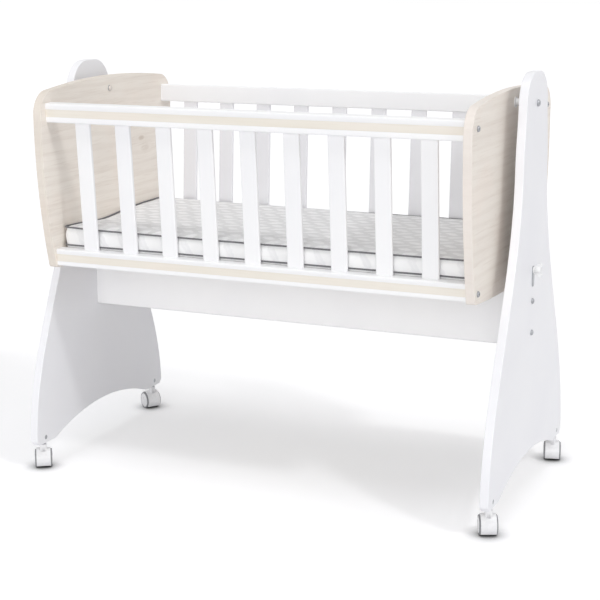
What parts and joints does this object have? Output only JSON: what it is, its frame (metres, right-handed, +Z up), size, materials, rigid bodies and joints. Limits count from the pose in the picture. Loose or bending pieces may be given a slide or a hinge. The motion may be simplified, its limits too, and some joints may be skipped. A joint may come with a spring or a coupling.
{
  "type": "swinging cradle on stand",
  "caption": "Slatted cradle hung on side pivots between two tall stand ends joined by a stretcher board, with screw locks, a piped mattress and swivel casters.",
  "frame": {"origin": "on the floor, below the middle of the stand", "axes": "+X along the cradle's length towards the end at the right of the picture, +Y towards the rear long side, +Z up"},
  "size_m": [1.0868, 0.556, 0.882],
  "materials": {
    "white_lacquer": "satin white lacquer on board",
    "oak_board": "pale oak grain, matt",
    "oak_inlay": "pale oak strip, matt",
    "base_fibreboard": "white faced fibreboard",
    "plain_wood": "bare beech",
    "white_nylon": "moulded, satin",
    "caster_plastic": "moulded, glossy",
    "caster_tyre": "grey soft tread",
    "mattress_cover": "woven cover with a tone on tone leaf pattern",
    "mattress_trim": "dark piping cord",
    "zinc_steel": "zinc plated",
    "brass_insert": "turned"
  },
  "bodies": {
    "stand": {"stand_end_left": "white_lacquer", "stand_end_right": "white_lacquer", "stretcher_board": "white_lacquer", "stretcher_bolts": "zinc_steel", "stretcher_barrel_nuts": "zinc_steel", "stretcher_dowels": "plain_wood", "pivot_bolts": "zinc_steel", "pivot_spacers": "white_nylon", "pivot_washers": "zinc_steel", "pivot_cap_nuts": "white_nylon", "lock_plates": "zinc_steel", "lock_inserts": "brass_insert", "foot_barrel_nuts": "zinc_steel", "caster_stems": "zinc_steel"},
    "cradle": {"end_panel_left": "oak_board", "end_panel_right": "oak_board", "pivot_bushes": "white_nylon", "lock_receivers": "brass_insert", "top_rail_front": "white_lacquer", "top_rail_rear": "white_lacquer", "bottom_rail_front": "white_lacquer", "bottom_rail_rear": "white_lacquer", "top_inlay_front": "oak_inlay", "top_inlay_rear": "oak_inlay", "bottom_inlay_front": "oak_inlay", "bottom_inlay_rear": "oak_inlay", "slats_front": "white_lacquer", "slats_rear": "white_lacquer", "rail_bolts": "zinc_steel", "rail_barrel_nuts": "zinc_steel", "rail_dowels": "plain_wood", "base_board": "base_fibreboard", "ledge_strips": "plain_wood", "ledge_screws": "zinc_steel", "mattress": "mattress_cover", "mattress_piping": "mattress_trim"},
    "lock_left": {"lock_screw_left": "zinc_steel", "lock_knob_left": "white_nylon"},
    "lock_right": {"lock_screw_right": "zinc_steel", "lock_knob_right": "white_nylon"},
    "caster_front_left": {"hood_front_left": "caster_plastic", "axle_front_left": "zinc_steel"},
    "wheels_front_left": {"wheels_front_left": "caster_plastic", "tyres_front_left": "caster_tyre"},
    "caster_front_right": {"hood_front_right": "caster_plastic", "axle_front_right": "zinc_steel"},
    "wheels_front_right": {"wheels_front_right": "caster_plastic", "tyres_front_right": "caster_tyre"},
    "caster_rear_left": {"hood_rear_left": "caster_plastic", "axle_rear_left": "zinc_steel"},
    "wheels_rear_left": {"wheels_rear_left": "caster_plastic", "tyres_rear_left": "caster_tyre"},
    "caster_rear_right": {"hood_rear_right": "caster_plastic", "axle_rear_right": "zinc_steel"},
    "wheels_rear_right": {"wheels_rear_right": "caster_plastic", "tyres_rear_right": "caster_tyre"}
  },
  "joints": [
    {"name": "cradle_swing", "type": "hinge", "parent": "stand", "child": "cradle", "pos_m": [0, 0, 0.82], "axis": [1, 0, 0], "range_deg": [-10, 10]},
    {"name": "lock_turn_left", "type": "hinge", "parent": "stand", "child": "lock_left", "pos_m": [-0.5215, 0, 0.484], "axis": [-1, 0, 0], "range_deg": [-180, 180]},
    {"name": "lock_turn_right", "type": "hinge", "parent": "stand", "child": "lock_right", "pos_m": [0.5215, 0, 0.484], "axis": [1, 0, 0], "range_deg": [-180, 180]},
    {"name": "swivel_front_left", "type": "hinge", "parent": "stand", "child": "caster_front_left", "pos_m": [-0.5125, -0.2435, 0.05], "axis": [0, 0, 1], "continuous": true},
    {"name": "roll_front_left", "type": "hinge", "parent": "caster_front_left", "child": "wheels_front_left", "pos_m": [-0.51686, -0.23679, 0.02], "axis": [0.8387, 0.5446, 0], "continuous": true},
    {"name": "swivel_front_right", "type": "hinge", "parent": "stand", "child": "caster_front_right", "pos_m": [0.5125, -0.2435, 0.05], "axis": [0, 0, 1], "continuous": true},
    {"name": "roll_front_right", "type": "hinge", "parent": "caster_front_right", "child": "wheels_front_right", "pos_m": [0.50925, -0.23619, 0.02], "axis": [0.9135, 0.4067, 0], "continuous": true},
    {"name": "swivel_rear_left", "type": "hinge", "parent": "stand", "child": "caster_rear_left", "pos_m": [-0.5125, 0.2435, 0.05], "axis": [0, 0, 1], "continuous": true},
    {"name": "roll_rear_left", "type": "hinge", "parent": "caster_rear_left", "child": "wheels_rear_left", "pos_m": [-0.51905, 0.24809, 0.02], "axis": [0.5736, 0.8192, 0], "continuous": true},
    {"name": "swivel_rear_right", "type": "hinge", "parent": "stand", "child": "caster_rear_right", "pos_m": [0.5125, 0.2435, 0.05], "axis": [0, 0, 1], "continuous": true},
    {"name": "roll_rear_right", "type": "hinge", "parent": "caster_rear_right", "child": "wheels_rear_right", "pos_m": [0.51043, 0.25123, 0.02], "axis": [0.9659, 0.2588, 0], "continuous": true}
  ]
}
